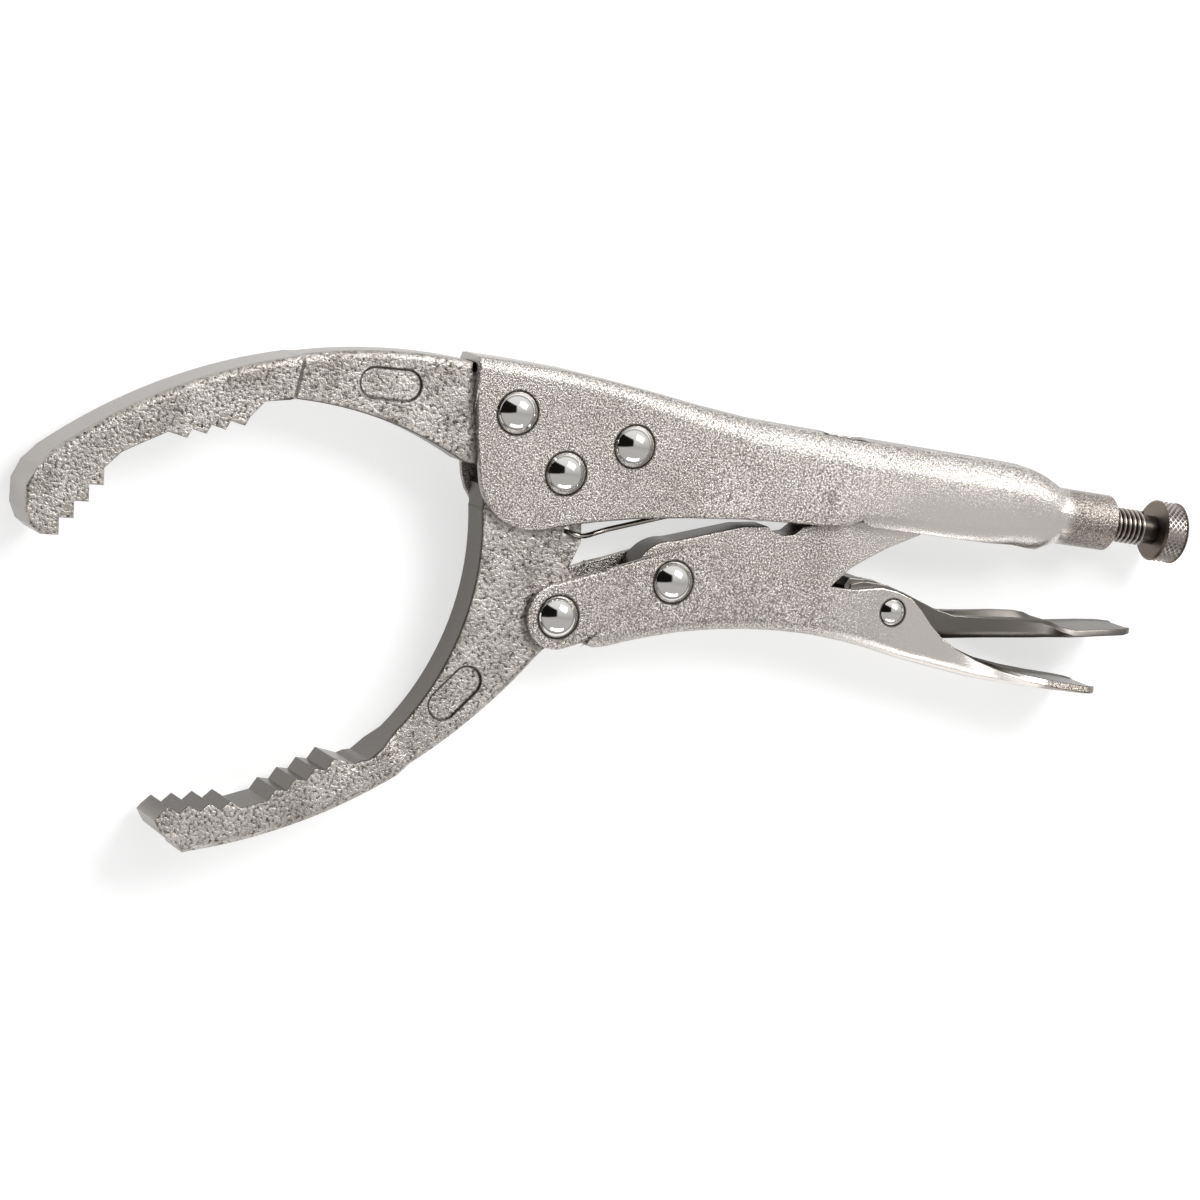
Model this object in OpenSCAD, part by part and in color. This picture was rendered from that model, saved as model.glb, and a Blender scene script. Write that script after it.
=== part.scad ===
// Locking oil-filter pliers with curved toothed jaws, all sizes in millimetres.
// Origin: centre of the gripped cylinder, on the mid-plane of the plates.
// +X runs along the adjusting screw to its knob, +Y to the upper handle, +Z square to the plates.

/* [Jaws] */
// thickness of the toothed end of each jaw
jaw_thick = 13; // [10:0.5:18]
// thickness of the jaw arms and of the tang inside the channels
arm_thick = 9; // [8.6:0.1:9]
// teeth in each of the four groups
tooth_count = 4; // [2:1:4]
// length of the flat where a thick section slopes down to its arm, fixed jaw
fixed_slope_run = 1.6; // [1:0.1:4]
// length of the same slope on the moving jaw
moving_slope_run = 4; // [2:0.1:6]
// length of the sunk name-plate pocket
pocket_l = 13.8; // [8:0.2:14]
// width of the pocket
pocket_w = 6.6; // [4:0.2:7]
// depth of the pocket
pocket_deep = 0.5; // [0.2:0.1:1]
// radius of the round hub at the jaw pivot
hub_r = 7.5; // [6:0.1:7.8]
// radius of the boss at the lower pivot
boss_r = 7; // [6:0.1:7.2]
// play round the lower pivot in the boss, which the ears hide
pivot_play = 1.65; // [1.6:0.05:2]
// gap between the hub and the hollow of the fixed jaw's tang
hub_gap = 1.1; // [0.8:0.1:1.2]
// thickness of the spring lug
lug_thick = 2.4; // [1.6:0.1:4]
// radius of the spring hole in the lug
lug_hole_r = 1.3; // [0.9:0.1:1.8]

/* [Pressed channels] */
// sheet of the upper handle
upper_sheet = 1.8; // [1.4:0.1:2]
// sheet of the lower handle
lower_sheet = 1.6; // [1.2:0.1:1.8]
// sheet of the release lever
lever_sheet = 1.5; // [1:0.1:1.8]
// side gap between a jaw plate and a channel wall
side_gap = 0.15; // [0.1:0.05:0.4]
// side gap between the release lever and the lower handle
lever_gap = 0.35; // [0.3:0.05:0.8]
// length of the upper handle's rounded grip
grip_len = 36.5; // [30:0.5:50]
// half width of the upper handle's rounded grip
grip_half = 7; // [6.8:0.1:8]
// half width of the lower handle's open tail
tail_half = 8.4; // [7:0.1:9]
// half width of the release paddle
paddle_half = 7.6; // [6:0.1:8]

/* [Toggle link] */
// thickness of the toggle link
link_thick = 8; // [7:0.1:8.2]
// radius of its round front lobe
link_lobe_r = 8.7; // [7:0.1:9]
// radius of the nose that meets the screw tip
link_nose_r = 4; // [3:0.1:4.2]

/* [Rivets] */
// shank radius of the five large rivets
shank_r = 2.8; // [2:0.1:3.2]
// dome radius of the large rivets
head_r = 4.6; // [3.6:0.1:5]
// dome height of the large rivets
head_h = 2.8; // [1.6:0.1:3.2]
// shank radius of the small rivet
small_shank_r = 1.8; // [1.2:0.1:2]
// dome radius of the small rivet
small_head_r = 2.9; // [2.4:0.1:3.4]
// dome height of the small rivet
small_head_h = 1.5; // [1:0.1:2]
// gap all round a shank in its bore
pin_gap = 0.05; // [0.02:0.01:0.08]
// gap under a rivet head
head_gap = 0.05; // [0.02:0.01:0.2]

/* [Adjusting screw] */
// screw radius, M8
screw_r = 4; // [3.6:0.1:4.2]
// free length of the screw between the nose and the knob
screw_free = 12.2; // [11:0.1:14]
// gap between the screw tip and the toggle link's nose
tip_gap = 0.4; // [0.3:0.1:3]
// radius of the handle's round nose
nose_r = 6.4; // [6:0.1:7]
// length of the round nose behind the channel
nose_free = 12.4; // [8:0.2:16]
// length of the nose that is buried in the channel
nose_seat = 9.6; // [6:0.2:12]
// knob radius
knob_r = 7; // [6:0.1:9]
// knob length
knob_len = 6.2; // [5:0.1:8]
// radius of the shank pressed into the knob
knob_shank_r = 2.5; // [2:0.1:3]

/* [Spring] */
// wire radius
wire_r = 0.6; // [0.4:0.05:0.8]
// coil radius to the middle of the wire
coil_r = 2.5; // [2:0.1:3]
// number of coils
coil_turns = 12; // [8:1:14]

/* [Hidden] */
// pivots and rivets in the plane of the plates
jaw_pivot = [73, 42];
tang_front = [59.4, 53.3];
tang_rear = [87.8, 50];
lower_pivot = [77.5, 11];
link_pivot = [103, 22];
lever_pivot = [157.7, 22.2];
link_nose = [168, 49];
screw_y = 48.9;

// half widths and levels made from the values above
upper_half = arm_thick / 2 + side_gap + upper_sheet;
lower_half = arm_thick / 2 + side_gap + lower_sheet;
lever_half = arm_thick / 2 + side_gap - lever_gap;
screw_tip_x = link_nose[0] + link_nose_r + tip_gap;
shoulder_gap = 0.1;
cut = 40;
eps = 0.5;

function arc(c, r, a0, a1, n) = [for (i = [0 : n]) c + r * [cos(a0 + (a1 - a0) * i / n), sin(a0 + (a1 - a0) * i / n)]];
function unit(v) = v / norm(v);
function rev(v) = [for (i = [len(v) - 1 : -1 : 0]) v[i]];

// ---- jaw outlines ----
// the back of each jaw and the inside of each arm are single arcs: centre, radius
fixed_back = [[41.9, -61], 123.5];
fixed_belly = [[13.9, -38.2], 87];
moving_back = [[-28.1, 71.9], 125.1];
moving_belly = [[-3, 17.8], 60.7];

// each tooth group: first tip, step to the next tip, tip to its gullet
fixed_tip_teeth = [[-36.3, 13.8], [2.57, 3.83], [-0.5, 3.6]];
fixed_mid_teeth = [[-12.6, 37.5], [4, 1.43], [0.8, 2]];
moving_mid_teeth = [[32.2, -25.5], [-3.93, -2.67], [-1.4, -2.7]];
moving_tip_teeth = [[10.8, -37.2], [-4.45, -0.9], [-1.9, -2.1]];

// level of the inside of the fixed jaw's arm
function belly_y(x) = fixed_belly[0][1] + sqrt(pow(fixed_belly[1], 2) - pow(x - fixed_belly[0][0], 2));

function teeth(g, n) = [for (i = [0 : n - 1], k = [0, 1]) g[0] + i * g[1] + k * g[2]];

fixed_head_outline = concat(
    [[-37, 36], [-43.2, 27.2], [-44.9, 23.1], [-44.3, 18.1], [-42.6, 15], [-40.2, 13.5]],
    teeth(fixed_tip_teeth, tooth_count),
    [[-26, 32.6], [-22, 35.1], [-16.8, 38.2]],
    teeth(fixed_mid_teeth, tooth_count),
    [[2.7, 47.4], [8.8, 48.6], [11, belly_y(11)], [12.6, belly_y(12.6)], [12.6, 64], [-20, 60]]);

fixed_arm_outline = [[10.5, 49], [10.5, 66], [48.4, 66], [48.4, 60.6], [51, 58.9], [62, 59.2], [84, 58.2],
    [91, 55.8], [94, 51], [93, 46.4], [88.5, 43.6], [84, 44.4], [81, 46.4], [65, 47.3], [56, 47.1], [53.9, 44.6],
    [53.2, 40.9], [49.9, 41], [46, 37]];

// where the toothed end's top meets the inside of the moving jaw's arm
moving_heel = [38.4, -25.3];

moving_arm_outline = concat(
    [[31, -36], moving_heel, [34, -10], [40, 31.2], [56.2, 31.6], [55.6, 36.6], [66.5, 45.8]],
    arc(jaw_pivot, hub_r - 0.3, 140, -10, 6),
    [[79.2, 36.5], [75.6, 31], [75.4, 25.2], [79.4, 20.7], [83.6, 14.6], [83.9, 9], [81, 5], [84, -2], [60, -34]]);

moving_head_outline = concat(
    [moving_heel, [37.3, -26.2]],
    teeth(moving_mid_teeth, tooth_count),
    [[13.5, -38.4]],
    teeth(moving_tip_teeth, tooth_count),
    [[-5.2, -43.1], [-3.4, -45.6], [2.2, -48.9], [8, -60], [56, -38], [51.8, -23.8], [46.4, -17.2], [42, -22]]);

lug_hole = [78.2, 29];
lug_outline = [[74, 31.5], [81.2, 31.2], [81.8, 27.2], [79.8, 20.4], [75, 22]];

// how far along each arm its inside arc is cut
fixed_belly_reach = [[11, 30], [11, 50], [50.2, 50], [50.2, 30]];
moving_belly_reach = [[20, 32], [56.1, 32], [56.1, 31.2], [62, 30], [62, -20], moving_heel, [20, -10]];

// pockets: centre and turn
fixed_pocket = [[30.5, 55], 3];
moving_pocket = [[57.6, -8.6], 52];

// slopes from thick to thin: point on the thick edge and the turn of the way down
fixed_slope = [[9, 53], -4];
moving_slope = [[45.1, -24.5], 41];

// ---- pressed channel sections ----
// tables of x against one value; every channel is swept through its list of stations
grip_start = 148.5;
grip_end = grip_start + grip_len;
// the shoulder from the grip down to the nose: steps behind the grip, top level, edge level
shoulder_steps = [0, 4, 7, 9.2, 11.2, 13.6];
shoulder_top = [59, 58.4, 57.6, 56.7, 55.7, 54.6];
shoulder_edge = [40.9, 40.6, 40.5, 41.2, 42.2, 43.2];

function shoulder(levels) = [for (i = [0 : len(levels) - 1]) [grip_end + shoulder_steps[i], levels[i]]];

upper_x = concat([48.8, 49.4, 51.5, 53.8, 55, 57, 59.5, 62.5, 66.2, 70, 74, 82, 92, 104, 116, 128, 136, 142, 145.5,
    grip_start], [for (share = [0.26, 0.53, 0.81]) grip_start + share * grip_len], [for (d = shoulder_steps) grip_end + d]);
upper_top = concat([[48.8, 63.9], [58, 64], [70, 63.8], [80, 63.1], [92, 62], [104, 60.7], [116, 59.7], [128, 59.5],
    [142, 59.4], [grip_end - 7, 59.2]], shoulder(shoulder_top));
upper_edge = concat([[48.8, 58.8], [49.4, 55.8], [51.5, 45.9], [53.8, 37.4], [55, 34.7], [57, 32.3], [59.5, 30.3],
    [62.5, 29], [66.2, 28.5], [70, 28.9], [74, 30.3], [82, 32.4], [92, 34.5], [104, 36.3], [116, 37.7],
    [128, 38.6], [136, 39], [142, 39.6], [145.5, 41.2], [grip_start, 40.3], [grip_end - 7, 40.6]],
    shoulder(shoulder_edge));
upper_w = [[48.8, upper_half], [104, upper_half], [136, grip_half], [grip_end + 2, grip_half], [grip_end + 7, 6.7],
    [grip_end + 13.6, 5.9]];
upper_bend = [[48.8, 2.8], [82, 3], [104, 4.6], [128, 6], [142, 6.4], [grip_end + 2, 6.4], [grip_end + 13.6, 5.7]];
upper_turn = [[48.8, 90], [grip_end, 90]];
upper_lip = [[48.8, 1.4], [142, 1.4], [grip_start, 3.6], [grip_end - 10, 3.8], [grip_end + 2, 6], [grip_end + 13.6, 7.4]];
upper_curl = [[48.8, 1], [142, 1], [grip_start, 30], [grip_end - 9, 31], [grip_end + 2, 58], [grip_end + 13.6, 75]];

lower_x = [86, 88, 91, 95, 99, 103, 107, 111, 116, 124, 132, 140, 148, 154, 158, 162, 165, 168, 171.5, 175,
    181, 188, 195, 202, 209, 211.8, 213];
lower_web = [[86, 5.4], [88, 5], [91, 5.7], [95, 7.2], [99, 8.5], [107, 10.8], [116, 12.6], [124, 13.7],
    [132, 14.3], [140, 14.4], [148, 13.9], [154, 13.2], [162, 11.9], [171.5, 10.8], [181, 9.8], [191, 9.6],
    [204, 9.9], [213, 10]];
lower_rise = [[86, 16.9], [88, 18], [91, 18.7], [95, 18.9], [99, 19.3], [103, 19.8], [107, 19.8], [111, 19.1],
    [116, 17.1], [124, 13.9], [132, 12.1], [140, 11.4], [148, 12.2], [154, 14.1], [158, 14.4], [162, 13.9],
    [165, 11.9], [168, 9.3], [171.5, 7], [175, 5.6], [181, 4.2], [188, 2.6], [195, 1.5], [202, 0.8],
    [209, 0.5], [213, 0.4]];
lower_w = [[86, lower_half], [165, lower_half], [175, 6.7], [188, 7.7], [202, tail_half], [209, tail_half],
    [211.8, 7], [213, 5.4]];
lower_bend = [[86, 3], [165, 3], [181, 3.4], [202, 3], [213, 3]];
lower_turn = [[86, 90], [168, 90], [175, 80], [181, 66], [188, 46], [195, 30], [202, 20], [213, 14]];
lower_lip = [[86, 0.6], [213, 0.6]];
lower_curl = [[86, 1], [213, 1]];

lever_x = [147, 150, 153, 156.5, 160.5, 165, 169.7, 174, 178, 183, 189, 195, 198, 200.5, 204, 212, 217, 219.6];
lever_web = [[147, 22.6], [150, 19.8], [153, 18.2], [156.5, 17.2], [165, 16.8], [174, 17.6], [183, 19],
    [195, 20.7], [204, 22.2], [212, 23.5], [219.6, 24.6]];
lever_rise = [[147, 4.4], [150, 8.2], [153, 9.8], [156.5, 10.6], [160.5, 9.8], [165, 8.6], [169.7, 6.8],
    [174, 5.7], [178, 5.4], [183, 5.1], [189, 4.8], [195, 4.2], [198, 3.2], [200.5, 1.8], [204, 0.5],
    [219.6, 0.3]];
lever_w = [[147, lever_half], [172, lever_half], [178, 5], [189, 6.6], [198, paddle_half], [210, paddle_half],
    [217, 6.6], [219.6, 4.6]];
lever_bend = [[147, 2.4], [174, 2.4], [198, 3], [219.6, 3]];
lever_turn = [[147, 90], [172, 90], [183, 80], [195, 66], [198, 52], [200.5, 36], [204, 14], [219.6, 10]];
lever_lip = [[147, 0.5], [219.6, 0.5]];
lever_curl = [[147, 1], [219.6, 1]];

// the nose, the screw and the knob follow on from the end of the upper channel
nose_end_x = upper_x[len(upper_x) - 1] + nose_free;
nose_len = nose_free + nose_seat;
knob_x = nose_end_x + screw_free;

bend_steps = 4;
lip_steps = 3;

// one half of the bent sheet at depth d under its outer face: web, bend, wall, curled lip
function half_section(rise, w, r, turn, lip, curl, d) =
    let (lip_r = lip * 180 / (PI * curl))
    let (wall = max(0.1, (rise - r * (1 - cos(turn)) - lip_r * (cos(turn) - cos(turn + curl))) / sin(turn)))
    let (a = w - r * sin(turn) - wall * cos(turn))
    let (s = [w, r * (1 - cos(turn)) + wall * sin(turn)])
    let (c = s + lip_r * [-sin(turn), cos(turn)])
    concat(
        [for (i = [0 : bend_steps]) [a + (r - d) * sin(turn * i / bend_steps), r - (r - d) * cos(turn * i / bend_steps)]],
        [for (i = [0 : lip_steps]) c + (lip_r - d) * [sin(turn + curl * i / lip_steps), -cos(turn + curl * i / lip_steps)]]);

// the whole ring of one station: outer face round to the other lip, then back along the inner face
function ring(x, y, way, outer, inner) = concat(
    [for (p = rev(outer)) [x, y + way * p[1], p[0]]],
    [for (p = outer) [x, y + way * p[1], -p[0]]],
    [for (p = rev(inner)) [x, y + way * p[1], -p[0]]],
    [for (p = inner) [x, y + way * p[1], p[0]]]);

module channel(xs, way, sheet, base, rise, w, r, turn, lip, curl) {
    rings = [for (x = xs)
        let (u = [lookup(x, rise), lookup(x, w), lookup(x, r), lookup(x, turn), lookup(x, lip), lookup(x, curl)])
        ring(x, lookup(x, base), way,
            half_section(u[0], u[1], u[2], u[3], u[4], u[5], 0),
            half_section(u[0], u[1], u[2], u[3], u[4], u[5], sheet))];
    m = len(rings[0]);
    last = (len(xs) - 1) * m;
    points = [for (q = rings, p = q) p];
    sides = [for (i = [0 : len(xs) - 2], k = [0 : m - 1], h = [0, 1])
        let (a = i * m + k, b = i * m + (k + 1) % m)
        h == 0 ? [a, b, b + m] : [a, b + m, a + m]];
    front = [for (k = [0 : m / 2 - 2]) [m - 1 - k, m - 2 - k, k + 1, k]];
    back = [for (k = [0 : m / 2 - 2]) [last + k, last + k + 1, last + m - 2 - k, last + m - 1 - k]];
    faces = concat(sides, front, back);
    polyhedron(points, way < 0 ? faces : [for (f = faces) rev(f)]);
}

function upper_rise(xs) = [for (x = xs) [x, lookup(x, upper_top) - lookup(x, upper_edge)]];

// ---- small shared shapes ----
module at(p) {
    translate([p[0], p[1], 0]) children();
}

module plate(points, t) {
    translate([0, 0, -t / 2]) linear_extrude(t) polygon(points);
}

module drum(c, r, t) {
    at(c) cylinder(r = r, h = t, center = true, $fn = 180);
}

module bore(c, r) {
    at(c) cylinder(r = r + pin_gap, h = cut, center = true, $fn = 48);
}

module along_x(x) {
    translate([x, screw_y, 0]) rotate([0, 90, 0]) children();
}

module pocket(place, face) {
    slide = (pocket_l - pocket_w) / 2;
    at(place[0]) rotate([0, 0, place[1]]) for (side = [-1, 1]) {
        translate([0, 0, side * face]) {
            cube([2 * slide, pocket_w, 2 * pocket_deep], center = true);
            for (end = [-1, 1]) {
                translate([end * slide, 0, 0]) cylinder(r = pocket_w / 2, h = 2 * pocket_deep, center = true, $fn = 48);
            }
        }
    }
}

module slope_cut(place, run) {
    drop = (jaw_thick - arm_thick) / 2;
    sunk = 0.3;
    far = run * (drop + sunk) / drop;
    low = arm_thick / 2 - sunk;
    at(place[0]) rotate([0, 0, place[1]]) for (side = [-1, 1]) {
        scale([1, 1, side]) rotate([90, 0, 0]) linear_extrude(cut, center = true)
            polygon([[0, jaw_thick / 2], [far, low], [cut / 2, low], [cut / 2, jaw_thick], [0, jaw_thick]]);
    }
}

module dome(r, h) {
    big = (r * r + h * h) / (2 * h);
    intersection() {
        translate([0, 0, h - big]) sphere(r = big, $fn = 64);
        cylinder(r = r + eps, h = h + eps, $fn = 64);
    }
}

module rivet(c, shank, r, h, half) {
    at(c) {
        cylinder(r = shank, h = 2 * (half + head_gap), center = true, $fn = 48);
        for (side = [0, 180]) {
            rotate([side, 0, 0]) translate([0, 0, half + head_gap]) dome(r, h);
        }
    }
}

// ---- jaws ----
module fixed_jaw() {
    color("silver") difference() {
        intersection() {
            union() {
                plate(fixed_arm_outline, arm_thick);
                difference() {
                    plate(fixed_head_outline, jaw_thick);
                    slope_cut(fixed_slope, fixed_slope_run);
                }
            }
            drum(fixed_back[0], fixed_back[1], cut);
        }
        intersection() {
            drum(fixed_belly[0], fixed_belly[1], cut);
            plate(fixed_belly_reach, cut);
        }
        drum(jaw_pivot, hub_r + hub_gap, cut);
        pocket(fixed_pocket, arm_thick / 2);
        bore(tang_front, shank_r);
        bore(tang_rear, shank_r);
    }
}

module moving_jaw() {
    color("silver") difference() {
        union() {
            intersection() {
                union() {
                    plate(moving_arm_outline, arm_thick);
                    difference() {
                        plate(moving_head_outline, jaw_thick);
                        slope_cut(moving_slope, moving_slope_run);
                    }
                }
                drum(moving_back[0], moving_back[1], cut);
            }
            plate(lug_outline, lug_thick);
            drum(jaw_pivot, hub_r, arm_thick);
            drum(lower_pivot, boss_r, arm_thick);
        }
        intersection() {
            drum(moving_belly[0], moving_belly[1], cut);
            plate(moving_belly_reach, cut);
        }
        at(lug_hole) cylinder(r = lug_hole_r, h = cut, center = true, $fn = 32);
        pocket(moving_pocket, arm_thick / 2);
        bore(jaw_pivot, shank_r);
        bore(lower_pivot, shank_r + pivot_play);
    }
}

// ---- handles ----
tab_half = 2.5;
window_half = 2.9;
window_x = [134.6, 144.4];
window_y = [56, 62];
tab_outline = [[137.9, 46.2], [139.6, 45.5], [145.2, 57.6], [147.5, 57.8], [147.5, 58.8], [143.5, 58.8]];
tab_hole = [140, 48.4];
tab_hole_r = 1.3;
nose_edge = 0.6;

module upper_handle() {
    color("gainsboro") difference() {
        union() {
            difference() {
                channel(upper_x, -1, upper_sheet, upper_top, upper_rise(upper_x), upper_w, upper_bend, upper_turn,
                    upper_lip, upper_curl);
                translate([window_x[0], window_y[0], -window_half])
                    cube([window_x[1] - window_x[0], window_y[1] - window_y[0], 2 * window_half]);
            }
            plate(tab_outline, 2 * tab_half);
            along_x(nose_end_x - nose_len) {
                cylinder(r = nose_r, h = nose_len - nose_edge, $fn = 64);
                translate([0, 0, nose_len - nose_edge]) cylinder(r1 = nose_r, r2 = nose_r - nose_edge, h = nose_edge, $fn = 64);
            }
        }
        along_x(nose_end_x - nose_len - eps) cylinder(r = screw_r + pin_gap, h = nose_len + 2 * eps, $fn = 64);
        at(tab_hole) rotate([0, 90, 0]) cylinder(r = tab_hole_r, h = window_x[1] - window_x[0], center = true, $fn = 32);
        bore(tang_front, shank_r);
        bore(tang_rear, shank_r);
        bore(jaw_pivot, shank_r);
    }
}

ear_r = 7.3;
ear_outline = [[75.4, 17.9], [78.5, 19.2], [86, 22.2], [87, 22.3], [92, 24], [92, 10], [87, 8.8], [85.6, 7], [84.3, 6],
    [80, 4.15]];

module lower_handle() {
    wall_z = lower_half - lower_sheet;
    color("gainsboro") difference() {
        union() {
            channel(lower_x, 1, lower_sheet, lower_web, lower_rise, lower_w, lower_bend, lower_turn, lower_lip,
                lower_curl);
            for (z = [wall_z, -lower_half]) {
                translate([0, 0, z]) {
                    linear_extrude(lower_sheet) polygon(ear_outline);
                    at(lower_pivot) cylinder(r = ear_r, h = lower_sheet, $fn = 64);
                }
            }
        }
        bore(lower_pivot, shank_r);
        bore(link_pivot, shank_r);
        bore(lever_pivot, small_shank_r);
    }
}

link_outline = [[98, 29], [100.2, 30.1], [103.5, 31], [118.2, 36], [124.4, 36.9], [126, 35.9], [128.6, 35.4],
    [131, 36], [132.9, 37.9], [151, 42.9], [157, 47.2], [164.4, 52.2], [170.4, 52], [171.6, 50.5], [171.2, 46.6],
    [168.6, 44.4], [162.1, 40], [155, 36.2], [150.5, 33.3], [146.4, 30.3], [144, 27.5], [140, 22.5], [132, 19.2],
    [122, 17], [108, 14.8], [100, 14.4]];

module toggle_link() {
    color("silver") difference() {
        union() {
            plate(link_outline, link_thick);
            drum(link_pivot, link_lobe_r, link_thick);
            drum(link_nose, link_nose_r, link_thick);
        }
        bore(link_pivot, shank_r);
    }
}

nub_outline = [[145.4, 26.4], [146.4, 28.3], [149.8, 28.5], [151.8, 27.4], [153, 24], [150, 21.6], [147, 23.4]];

module release_lever() {
    color("darkgray") difference() {
        union() {
            channel(lever_x, 1, lever_sheet, lever_web, lever_rise, lever_w, lever_bend, lever_turn, lever_lip,
                lever_curl);
            plate(nub_outline, 2 * (lever_half - 0.2));
        }
        bore(lever_pivot, small_shank_r);
    }
}

// ---- adjusting screw and knob ----
module adjusting_screw() {
    tip = 1;
    relief = 2.4;
    thread_len = knob_x - shoulder_gap - screw_tip_x - tip - relief;
    color("dimgray") along_x(screw_tip_x) {
        cylinder(r1 = screw_r - tip, r2 = screw_r, h = tip, $fn = 48);
        translate([0, 0, tip]) cylinder(r = screw_r, h = thread_len, $fn = 48);
        translate([0, 0, tip + thread_len]) cylinder(r = screw_r - 0.5, h = relief, $fn = 48);
        translate([0, 0, tip + thread_len + relief]) cylinder(r = knob_shank_r, h = knob_len - 1.2, $fn = 48);
    }
}

module adjusting_knob() {
    bevel = 0.5;
    color("gray") along_x(knob_x) difference() {
        union() {
            cylinder(r1 = knob_r - bevel, r2 = knob_r, h = bevel, $fn = 64);
            translate([0, 0, bevel]) cylinder(r = knob_r, h = knob_len - 2 * bevel, $fn = 64);
            translate([0, 0, knob_len - bevel]) cylinder(r1 = knob_r, r2 = knob_r - bevel, h = bevel, $fn = 64);
        }
        translate([0, 0, -eps]) cylinder(r = knob_shank_r + pin_gap, h = knob_len - 1 + eps, $fn = 48);
    }
}

// ---- spring ----
wire_sides = 8;
coil_steps = 14;
coil_from = [105.6, 38.6, 0];
coil_to = [132, 45, 0];
coil_axis = unit(coil_to - coil_from);
coil_up = [-coil_axis[1], coil_axis[0], 0];

front_hook = [[78.2, 29, -2], [78.2, 29, 0], [78.3, 29, 1.4], [79, 28.9, 2.1], [80.6, 28.6, 2.1],
    [82.4, 28.8, 1.3], [84.6, 29.4, 0.3], [88, 30.4, 0], [103.6, 35.6, 0]];
rear_hook = [[134.6, 45.6, 0], [136.4, 47.6, 0], [138.2, 48.4, 0], [142.4, 48.4, 0], [143.5, 48, 0], [143.8, 46.9, 0]];
coil = [for (i = [0 : coil_turns * coil_steps])
    let (u = i / (coil_turns * coil_steps), a = 180 + 360 * i / coil_steps)
    coil_from + u * (coil_to - coil_from) + coil_r * (cos(a) * coil_up + [0, 0, sin(a)])];
wire_path = concat(front_hook, coil, rear_hook);

module tension_spring() {
    n = len(wire_path);
    way = [for (i = [0 : n - 1]) unit(wire_path[min(i + 1, n - 1)] - wire_path[max(i - 1, 0)])];
    side = [for (i = 0, v = [1, 0, 0]; i < n; i = i + 1, v = i < n ? unit(v - (v * way[i]) * way[i]) : v)
        unit(v - (v * way[i]) * way[i])];
    points = [for (i = [0 : n - 1], k = [0 : wire_sides - 1])
        let (a = 360 * k / wire_sides)
        wire_path[i] + wire_r * (cos(a) * side[i] + sin(a) * cross(way[i], side[i]))];
    sides = [for (i = [0 : n - 2], k = [0 : wire_sides - 1], h = [0, 1])
        let (a = i * wire_sides + k, b = i * wire_sides + (k + 1) % wire_sides)
        h == 0 ? [a, b + wire_sides, b] : [a, a + wire_sides, b + wire_sides]];
    far = (n - 1) * wire_sides;
    ends = [[for (k = [0 : wire_sides - 1]) k], [for (k = [wire_sides - 1 : -1 : 0]) far + k]];
    color("dimgray") polyhedron(points, concat(sides, ends));
}

// ---- rivets ----
module tang_front_rivet() {
    color("whitesmoke") rivet(tang_front, shank_r, head_r, head_h, upper_half);
}

module tang_rear_rivet() {
    color("whitesmoke") rivet(tang_rear, shank_r, head_r, head_h, upper_half);
}

module jaw_pivot_rivet() {
    color("whitesmoke") rivet(jaw_pivot, shank_r, head_r, head_h, upper_half);
}

module lower_pivot_rivet() {
    color("whitesmoke") rivet(lower_pivot, shank_r, head_r, head_h, lower_half);
}

module link_pivot_rivet() {
    color("whitesmoke") rivet(link_pivot, shank_r, head_r, head_h, lower_half);
}

module lever_rivet() {
    color("whitesmoke") rivet(lever_pivot, small_shank_r, small_head_r, small_head_h, lower_half);
}

fixed_jaw();
moving_jaw();
upper_handle();
lower_handle();
toggle_link();
release_lever();
adjusting_screw();
adjusting_knob();
tension_spring();
tang_front_rivet();
tang_rear_rivet();
jaw_pivot_rivet();
lower_pivot_rivet();
link_pivot_rivet();
lever_rivet();
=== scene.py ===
import math
import bmesh
import bpy
from mathutils import Matrix, Vector


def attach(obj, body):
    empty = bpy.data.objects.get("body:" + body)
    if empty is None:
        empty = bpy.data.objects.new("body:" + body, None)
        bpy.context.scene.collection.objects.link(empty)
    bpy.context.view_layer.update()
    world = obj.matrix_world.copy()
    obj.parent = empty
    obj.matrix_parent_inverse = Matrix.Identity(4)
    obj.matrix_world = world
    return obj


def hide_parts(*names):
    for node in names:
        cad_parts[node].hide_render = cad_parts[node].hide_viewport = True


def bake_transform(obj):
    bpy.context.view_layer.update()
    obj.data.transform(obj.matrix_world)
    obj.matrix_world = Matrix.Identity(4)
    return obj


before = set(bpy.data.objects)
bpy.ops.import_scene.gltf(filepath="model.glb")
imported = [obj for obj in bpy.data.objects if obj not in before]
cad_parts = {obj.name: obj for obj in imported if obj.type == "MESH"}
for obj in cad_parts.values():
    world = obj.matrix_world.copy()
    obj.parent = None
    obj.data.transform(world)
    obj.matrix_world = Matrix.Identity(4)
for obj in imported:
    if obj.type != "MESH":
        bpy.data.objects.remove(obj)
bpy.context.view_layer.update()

# Camera: looks down on the pliers as they lie on their side, from the jaw end,
# with a long lens, so that the plates show their flat faces and a little of their upper edges.
camera_data = bpy.data.cameras.new("camera")
camera_data.lens = 130.5
camera_data.sensor_width = 36.0
camera_data.clip_end = 20.0
camera = bpy.data.objects.new("camera", camera_data)
bpy.context.scene.collection.objects.link(camera)
eye = Vector((-0.3031, 0.1137, 0.8596))
aim = Vector((0.0893, 0.0152, 0.0))
image_up = Vector((-0.1994, 0.9799, 0.0))
back = (eye - aim).normalized()
side = image_up.cross(back).normalized()
turn_to_aim = Matrix((side, back.cross(side), back)).transposed().to_4x4()
camera.matrix_world = Matrix.Translation(eye) @ turn_to_aim
bpy.context.scene.camera = camera
bpy.context.scene.view_settings.view_transform = "Standard"

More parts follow.
